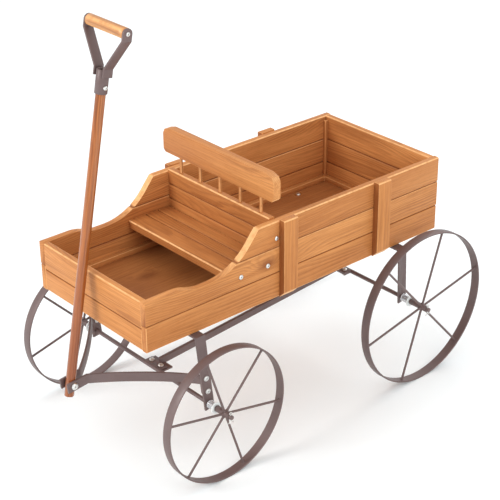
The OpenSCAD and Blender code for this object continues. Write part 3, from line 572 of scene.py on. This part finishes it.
def alongX(x, y, z, facing=1):  # local Z points along +X or -X
    return Matrix.Translation((x, y, z)) @ Matrix.Rotation(math.radians(90 * facing), 4, "Y")


def alongZ(x, y, z, facing=1):  # local Z points along +Z or -Z
    return Matrix.Translation((x, y, z)) @ Matrix.Rotation(0 if facing > 0 else math.pi, 4, "X")


# Section of a tube with its four edges eased
def tubeOutline(inner, outer, low, high, edge):
    return [
        (inner, low + edge), (inner + edge, low), (outer - edge, low), (outer, low + edge),
        (outer, high - edge), (outer - edge, high), (inner + edge, high), (inner, high - edge),
    ]


# Section of a rod with eased ends, cut into short stretches so that its surface can carry a figure
def rodOutline(radius, low, high, edge, stretches):
    outline = [(0, low), (radius - edge, low), (radius, low + edge)]
    outline += [(radius, low + (high - low) * k / stretches) for k in range(1, stretches)]
    return outline + [(radius, high - edge), (radius - edge, high), (0, high)]


# Which world axis runs along, across and through a board
grainAlong = {"x": (0, 2, 1), "y": (1, 2, 0), "z": (2, 1, 0), "flatY": (1, 0, 2), "flatX": (0, 1, 2)}


grainLook = {
    "shifts": ((0, 9), (-0.035, 0.035), (-0.004, 0.010)),
    "rimSpread": 0.2, "grooveShadeWidth": 1.45 * mm, "sideFacing": 0.9, "sideTone": 0.75,
}


# Grain place for each point, and marks: x lightens rounded edges, partly wear and partly a painted
# highlight; y is painted shade in the grooves where boards meet, and also darkens side faces that face along
# Y
def storeGrain(piece, order, seed, turn=None, grooveShade=None, darkSides=False):
    rng = random.Random(seed)
    shift = Vector([rng.uniform(least, most) for least, most in grainLook["shifts"]])
    flip = rng.choice((-1, 1))
    data = piece.data
    attribute = data.attributes.new("grainPlace", "FLOAT_VECTOR", "POINT")
    low = Vector([min(v.co[i] for v in data.vertices) for i in range(3)])
    high = Vector([max(v.co[i] for v in data.vertices) for i in range(3)])
    middle = (low + high) / 2
    for v in data.vertices:
        p = (turn @ v.co) if turn else v.co - middle
        q = Vector([p[i] for i in order])
        q[0] *= flip
        attribute.data[v.index].vector = q + shift
    marks = data.attributes.new("edgeMarks", "FLOAT_VECTOR", "POINT")
    for v in data.vertices:
        tilt = 1 - max(abs(c) for c in v.normal)
        rim = 0 if turn else min(1, max(0, tilt / grainLook["rimSpread"]))
        dark = 0
        if grooveShade:
            axis, atLow, atHigh = grooveShade
            gaps = [v.co[axis] - low[axis]] if atLow else []
            gaps += [high[axis] - v.co[axis]] if atHigh else []
            dark = max(0, 1 - min(gaps) / grainLook["grooveShadeWidth"])
        # battens: their faces that face along Y are drawn darker
        if darkSides and abs(v.normal.y) > grainLook["sideFacing"]:
            dark = grainLook["sideTone"]
        marks.data[v.index].vector = (0 if dark > 0 else rim, dark, 0)


boards = {
    "edge": 0.9 * mm,
    "steps": 3,
    "firstSeed": 40,
    "y": ["side_left_lower", "side_left_middle", "side_left_upper",
          "side_right_lower", "side_right_middle", "side_right_upper"],
    "x": ["front_lower_board", "front_upper_board",
          "rear_lower_board", "rear_middle_board", "rear_upper_board",
          "divider_slat_1", "divider_slat_2", "divider_slat_3", "divider_slat_4", "backrest_board"],
    "z": ["batten_left_front", "batten_left_rear", "batten_right_front", "batten_right_rear",
          "corner_posts"],
    "flatY": ["floor_front", "floor_rear", "floor_cleats", "seat_cleats"],
    "flatX": ["seat_slat_front", "seat_slat_middle", "seat_slat_rear"],
    "seeds": {"front_upper_board": 5, "backrest_board": 12},
    # these floors get the darker floor wood, as painted shade
    "dark": ["floor_front", "floor_rear"],
    "grooveShades": {  # axis, painted groove shade on the low edge, painted groove shade on the high edge
        "seat_slat_front": (1, False, True), "seat_slat_middle": (1, True, True),
        "seat_slat_rear": (1, True, True), "slat_1": (2, False, True), "slat_2": (2, True, True),
        "slat_3": (2, True, True), "slat_4": (2, True, False),
        "_lower": (2, False, True), "_middle": (2, True, True), "_upper": (2, True, False),
    },
}


def makeBoards(s):
    count = 0
    for direction in grainAlong:
        for node in s[direction]:
            count += 1
            look = "floorBoardsShaded" if node in s["dark"] else "cartBoards"
            piece = place(node + "_wood", cadShape(node), [look], "cart", [node])
            roundEdges(piece, s["edge"], s["steps"])
            grooveShade = next((v for k, v in s["grooveShades"].items() if k in node), None)
            seed = s["seeds"].get(node, s["firstSeed"] + count)
            storeGrain(piece, grainAlong[direction], seed, grooveShade=grooveShade, darkSides=node.startswith("batten"))


makeBoards(boards)
print("boards ready")

spindleLook = {"swell": 0.25 * mm, "edge": 0.4 * mm, "stretches": 6, "steps": 20, "seed": 77}


def makeSpindles(s):
    bm = bmesh.new()
    for low, high in solidsOf("spindles"):
        mid = (low + high) / 2
        r = (high.x - low.x) / 2
        h = high.z - low.z
        shares = [k / s["stretches"] for k in range(1, s["stretches"])]
        outline = [(0, 0), (r - s["swell"], 0), (r, s["edge"])]
        outline += [(r - s["swell"] * math.sin(math.pi * u) ** 2, h * u) for u in shares]
        outline += [(r, h - s["edge"]), (r - s["swell"], h), (0, h)]
        addLathe(bm, outline, alongZ(mid.x, mid.y, low.z), s["steps"])
    piece = place("spindles_wood", bm, ["cartBoards"], "cart", ["spindles"])
    storeGrain(piece, grainAlong["z"], s["seed"])


makeSpindles(spindleLook)

straps = {
    "edge": 0.45 * mm,
    "steps": 2,
    "sharpest": 32,
    "cart": ["front_bracket", "rear_bracket", "yoke_arm_left", "yoke_arm_right",
             "reach_bar", "front_axle", "rear_axle"],
    "handle": ["grip_strap_left", "grip_strap_right"],
}


def makeStraps(s):
    for body in ("cart", "handle"):
        for node in s[body]:
            piece = place(node + "_steel", cadShape(node), ["brownCoat"], body, [node])
            roundEdges(piece, s["edge"], s["steps"], s["sharpest"])


makeStraps(straps)
print("straps ready")

wheelLook = {
    "rimSteps": 160, "rimThick": 2 * mm, "rimEdge": 0.6 * mm, "rimCorner": 0.3, "rimSmooth": 35,
    "spokeRadius": 1.65 * mm, "spokeCount": 6, "spokeSides": 14, "rootSunk": 0.5 * mm, "tipSunk": 0.25 * mm,
    "weld": 1.1 * mm,
    "rootWeld": [(0, 1), (0.8 * mm, 0.7), (2.2 * mm, 0.1), (3 * mm, 0)],  # distance in, share of the weld
    "tipWeld": [(2.6 * mm, 0), (1.6 * mm, 0.15), (0.6 * mm, 0.7), (0, 1)],
    "hubRadius": 4.4 * mm, "hubBore": 3.08 * mm, "hubEdge": 0.5 * mm, "hubSteps": 40,
    "firstSpoke": {"front_left": 14, "front_right": 48, "rear_left": 12, "rear_right": 12},
}


def makeWheel(end, side, s):
    body = f"wheel_{end}_{side}"
    low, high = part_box(f"rim_{end}_{side}")
    mid = (low + high) / 2
    outer = (high.z - low.z) / 2
    width = high.x - low.x
    inner = outer - s["rimThick"]
    e = s["rimEdge"]
    c = s["rimCorner"] * e
    bm = bmesh.new()
    outline = [(outer, e), (outer, width / 2), (outer, width - e), (outer - c, width - c),
               (outer - e, width), (inner + e, width), (inner, width - e), (inner, width / 2), (inner, e),
               (inner + e, 0), (outer - e, 0), (outer - c, c)]
    addLathe(bm, outline, alongX(low.x, mid.y, mid.z), s["rimSteps"], closed=True)
    rim = place(f"rim_{end}_{side}_band", bm, ["brownCoat"], body, [f"rim_{end}_{side}"])
    smoothBelow(rim, s["rimSmooth"])

    hubLow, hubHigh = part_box(f"spider_{end}_{side}")
    bm = bmesh.new()
    h = s["hubEdge"]
    length = hubHigh.x - hubLow.x
    bore, hub = s["hubBore"], s["hubRadius"]
    outline = [(bore, 0), (hub - h, 0), (hub, h), (hub, length - h), (hub - h, length), (bore, length)]
    addLathe(bm, outline, alongX(hubLow.x, mid.y, mid.z), s["hubSteps"], closed=True)
    for i in range(s["spokeCount"]):
        t = math.radians(s["firstSpoke"][f"{end}_{side}"] + i * 360 / s["spokeCount"])
        out = Vector((0, math.cos(t), math.sin(t)))
        root, tip = hub - s["rootSunk"], inner + s["tipSunk"]
        stops = [(root + d, share) for d, share in s["rootWeld"]]
        stops += [(tip - d, share) for d, share in s["tipWeld"]]
        radii = [s["spokeRadius"] + share * s["weld"] for d, share in stops]
        addWire(bm, [mid + out * d for d, share in stops], radii, s["spokeSides"])
    place(f"spider_{end}_{side}_spokes", bm, ["brownCoat"], body, [f"spider_{end}_{side}"])


for end in ("front", "rear"):
    for side in ("left", "right"):
        makeWheel(end, side, wheelLook)
print("wheels ready")

springLook = {"wire": 0.62 * mm, "turns": 7.5, "perTurn": 22, "endShare": 0.1, "endRise": 0.06}


def makeSprings(s):
    bm = bmesh.new()
    for low, high in solidsOf("springs"):
        mid = (low + high) / 2
        r = (high.z - low.z) / 2 - s["wire"]
        run = high.x - low.x - 2 * s["wire"]
        steps = int(s["turns"] * s["perTurn"])
        points = []
        for i in range(steps + 1):
            u = i / steps
            ease = min(1, max(0, (u - s["endShare"]) / (1 - 2 * s["endShare"])))  # the end coils lie flat
            t = 2 * math.pi * s["turns"] * u
            x = low.x + s["wire"] + run * (s["endRise"] * u + (1 - s["endRise"]) * ease)
            points.append(Vector((x, mid.y + r * math.cos(t), mid.z + r * math.sin(t))))
        addWire(bm, points, [s["wire"]] * len(points))
    place("springs_coils", bm, ["springChrome"], "cart", ["springs"])


washerLook = {"edge": 0.35 * mm, "bore": 3.15 * mm, "steps": 40}


def makeWashers(s):
    bm = bmesh.new()
    for low, high in solidsOf("washers"):
        mid = (low + high) / 2
        outline = tubeOutline(s["bore"], (high.z - low.z) / 2, 0, high.x - low.x, s["edge"])
        addLathe(bm, outline, alongX(low.x, mid.y, mid.z), s["steps"], closed=True)
    place("washers_nylon", bm, ["washerNylon"], "cart", ["washers"])


cotterLook = {
    "wire": 0.6 * mm, "eye": 1.9 * mm, "eyeSteps": 8, "neck": 2.3, "apart": 0.9,
    "bentLength": 5.4 * mm, "bentSpread": 3.5 * mm, "bentSteps": 5,
}


def makeCotters(s):
    bm = bmesh.new()
    eye, w, bent = s["eye"], s["wire"], s["bentLength"]
    for low, high in solidsOf("cotter_pins"):
        x = (low.x + high.x) / 2
        y = (low.y + high.y) / 2
        top = high.z - w
        for way in (-1, 1):
            points = []
            for k in range(s["eyeSteps"] + 1):  # half of the eye
                t = math.pi * k / s["eyeSteps"]
                points.append(Vector((x, y + way * eye * math.sin(t), top - eye + eye * math.cos(t))))
            leg = y + way * w * s["apart"]
            points.append(Vector((x, leg, top - s["neck"] * eye)))
            points.append(Vector((x, leg, low.z + bent)))
            for k in range(1, s["bentSteps"] + 1):
                u = k / s["bentSteps"]
                out = way * (w + s["bentSpread"] * u * u)
                points.append(Vector((x, y + out, low.z + w + (bent - w) * (1 - u))))
            addWire(bm, points, [w] * len(points))
    place("cotter_pins_wire", bm, ["zincPlate"], "cart", ["cotter_pins"])


makeSprings(springLook)
makeWashers(washerLook)
makeCotters(cotterLook)
print("springs, washers and pins ready")

boltLook = {
    "dome": [(1, 0.25), (0.96, 0.5), (0.84, 0.76), (0.66, 0.93), (0.5, 1)],  # shares of radius and height
    "foot": 0.96, "sunk": 0.2 * mm, "steps": 28,
    "recess": 0.9 * mm, "recessLip": 1.15, "recessStep": 0.15 * mm, "recessFloor": 0.9,
    "recessDepth": 0.5 * mm, "recessPoint": 1.2, "recessSteps": 24,
    "tip": 0.8, "tipLength": 0.4 * mm, "shankSteps": 20,
    "nutAcross": 1.9, "nutEdge": 0.25 * mm, "nutCrown": 0.9, "threadOut": 1.8 * mm,
}


# A domed head whose socket is drawn in a darker copy of the zinc as painted shade, standing on local z = 0
def addHead(bm, at, r, h, s):
    hole, step, floor = s["recess"], h - s["recessStep"], h - s["recessDepth"]
    outline = [(0, -s["sunk"]), (r * s["foot"], -s["sunk"])] + [(r * a, h * b) for a, b in s["dome"]]
    addLathe(bm, outline + [(hole * s["recessLip"], h), (hole, step)], at, s["steps"])
    outline = [(hole, step), (hole * s["recessFloor"], floor), (0, h - s["recessDepth"] * s["recessPoint"])]
    addLathe(bm, outline, at, s["recessSteps"], material=1)
    bmesh.ops.remove_doubles(bm, verts=bm.verts, dist=meshTools["smallest"])


def addShank(bm, at, r, low, s):
    outline = [(0, low), (r * s["tip"], low), (r, low + s["tipLength"]), (r, 0), (0, 0)]
    addLathe(bm, outline, at, s["shankSteps"])


# A hexagon nut between two heights, with turned corners
def addNut(bm, at, bore, low, high, s):
    across = s["nutAcross"] * bore
    c, crown, hole = s["nutEdge"], s["nutCrown"], bore / across
    for k in range(6):
        t0, t1 = math.radians(60 * k), math.radians(60 * (k + 1))
        corners = [Vector((across * math.cos(t), across * math.sin(t), 0)) for t in (t0, t1)]
        levels = [(crown, low), (1.0, low + c), (1.0, high - c), (crown, high), (hole, high)]
        rows = [[bm.verts.new(at @ Vector((a.x * f, a.y * f, z))) for a in corners] for f, z in levels]
        bottom = [bm.verts.new(at @ Vector((a.x * hole, a.y * hole, low))) for a in corners]
        rows = [bottom] + rows + [bottom]
        for p, q in zip(rows, rows[1:]):
            bm.faces.new((p[0], p[1], q[1], q[0]))
    bmesh.ops.remove_doubles(bm, verts=bm.verts, dist=meshTools["smallest"])


# Radii, the head's rise above its seat and the nut's height. Facing 0 means away from the middle
bolt = {"shank": 2.0 * mm, "head": 4.0 * mm, "rise": 2.0 * mm, "nut": 3.2 * mm}
screw = {"shank": 1.6 * mm, "head": 3.5 * mm, "rise": 1.6 * mm, "nut": 0}
fasteners = {
    "bracket_bolts": {**bolt, "upright": True, "facing": 1, "body": "cart"},
    "reach_bolts": {**bolt, "upright": True, "facing": 1, "body": "cart"},
    "yoke_bolts": {**bolt, "upright": False, "facing": 0, "body": "cart"},
    "pivot_bolt": {
        "shank": 2.5 * mm, "head": 5.0 * mm, "rise": 3.0 * mm, "nut": 4.0 * mm,
        "upright": False, "facing": 1, "body": "cart",
    },
    "side_screws": {**screw, "upright": False, "facing": 0, "body": "cart"},
    "bracket_screws": {**screw, "upright": True, "facing": -1, "body": "cart"},
    "grip_screws": {
        "shank": 1.6 * mm, "head": 2.9 * mm, "rise": 1.5 * mm, "nut": 0,
        "upright": False, "facing": 0, "body": "handle",
        "inner": 20 * mm, "innerRise": 1.8 * mm,  # the sleeve's screw is nearer the middle than this
    },
}


def makeFastener(node, s, look):
    bm = bmesh.new()
    for low, high in solidsOf(node):
        mid = (low + high) / 2
        facing = s["facing"] or (1 if mid.x > 0 else -1)
        rise = s["innerRise"] if abs(mid.x) < s.get("inner", 0) else s["rise"]
        axis = 2 if s["upright"] else 0
        seat = (high[axis] if facing > 0 else low[axis]) - facing * rise
        tip = rise - (high[axis] - low[axis])
        at = alongZ(mid.x, mid.y, seat, facing) if s["upright"] else alongX(seat, mid.y, mid.z, facing)
        addHead(bm, at, s["head"], rise, look)
        addShank(bm, at, s["shank"], tip, look)
        if s["nut"]:
            start = tip + look["threadOut"]
            addNut(bm, at, s["shank"], start, start + s["nut"], look)
    place(node + "_zinc", bm, ["zincPlate", "shadedZinc"], s["body"], [node])


for node, sizes in fasteners.items():
    makeFastener(node, sizes, boltLook)
print("fasteners ready")

poleLook = {
    "radius": 6.5 * mm, "edge": 1.0 * mm, "corner": 0.3, "stretches": 24, "seed": 8,
    "sleeveFit": 0.05 * mm, "sleeveWall": 1.65 * mm, "lip": 0.5 * mm,
    "gripEdge": 0.8 * mm, "gripStretches": 8, "gripSeed": 21, "steps": 40,
}


def makeHandle(s):
    pivot = Vector(next(j["pos_m"] for j in frame["joints"] if j["name"] == "handle_swing"))
    gripLow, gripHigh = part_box("grip_dowel")
    grip = (gripLow + gripHigh) / 2
    up = grip - pivot
    up.x = 0
    up.normalize()
    right = Vector((1, 0, 0))
    at = Matrix.Translation(pivot) @ Matrix((right, up.cross(right), up)).transposed().to_4x4()
    flat = at.inverted()

    def spanOf(node):  # lowest and highest place along the pole
        heights = [(flat @ v.co).z for v in frame["nodes"][node].data.vertices]
        return min(heights), max(heights)

    low, high = spanOf("pole")
    r, e = s["radius"], s["edge"]
    bm = bmesh.new()
    outline = rodOutline(r, low, high, e, s["stretches"])
    outline.insert(2, (r - s["corner"] * e, low + s["corner"] * e))  # the foot is rounder than the top
    addLathe(bm, outline, at, s["steps"])
    pole = place("pole_wood", bm, ["poleVarnish"], "handle", ["pole"])
    storeGrain(pole, grainAlong["z"], s["seed"], flat)

    low, high = spanOf("grip_sleeve")
    inner = r + s["sleeveFit"]
    bm = bmesh.new()
    outline = tubeOutline(inner, inner + s["sleeveWall"], low, high, s["lip"])
    addLathe(bm, outline, at, s["steps"], closed=True)
    place("grip_sleeve_steel", bm, ["brownCoat"], "handle", ["grip_sleeve"])

    r = (gripHigh.z - gripLow.z) / 2
    length = gripHigh.x - gripLow.x
    bm = bmesh.new()
    outline = rodOutline(r, 0, length, s["gripEdge"], s["gripStretches"])
    addLathe(bm, outline, alongX(gripLow.x, grip.y, grip.z), s["steps"])
    dowel = place("grip_dowel_wood", bm, ["gripWood"], "handle", ["grip_dowel"])
    storeGrain(dowel, grainAlong["x"], s["gripSeed"])


makeHandle(poleLook)
print("handle ready")
